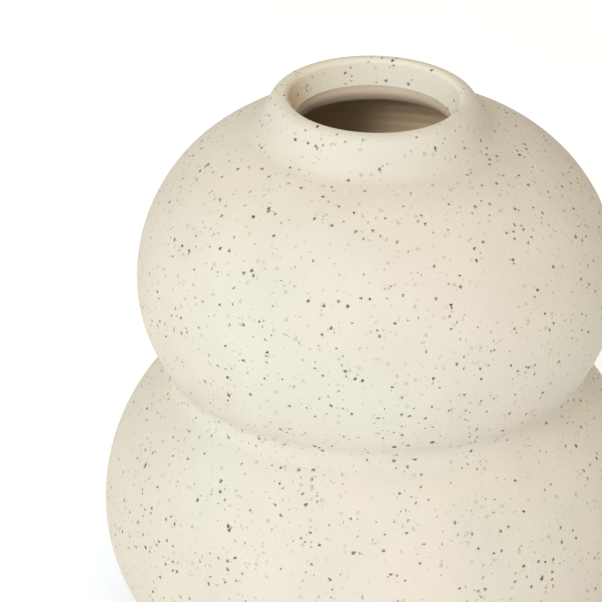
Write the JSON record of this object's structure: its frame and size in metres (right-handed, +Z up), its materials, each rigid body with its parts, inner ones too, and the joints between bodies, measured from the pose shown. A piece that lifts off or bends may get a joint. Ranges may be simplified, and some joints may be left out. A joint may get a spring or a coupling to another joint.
{
  "type": "stoneware vase",
  "caption": "Double-bulb stoneware vase with a narrow waist, a rolled lip, a glazed inside and a foot ring to stand on.",
  "frame": {"origin": "centre of the foot ring's standing face, on the axis of the two bulbs", "axes": "+Z up along the bulbs' axis, and the mouth leans 0.8 degrees towards -X"},
  "size_m": [0.2416, 0.2416, 0.2765],
  "materials": {
    "speckled_stoneware": "matt cream glaze on speckled stoneware, with small dark brown iron spots",
    "bare_stoneware": "bare fired buff stoneware, slightly gritty",
    "liner_glaze": "smooth satin pinkish-grey liner glaze without spots"
  },
  "bodies": {
    "root": {"lower_bulb": "speckled_stoneware", "foot_ring": "bare_stoneware", "foot_slip_seam": "bare_stoneware", "upper_bulb": "speckled_stoneware", "waist_slip_seam": "speckled_stoneware", "mouth_collar": "speckled_stoneware", "neck_slip_seam": "speckled_stoneware", "glaze_lining": "liner_glaze"}
  },
  "joints": []
}
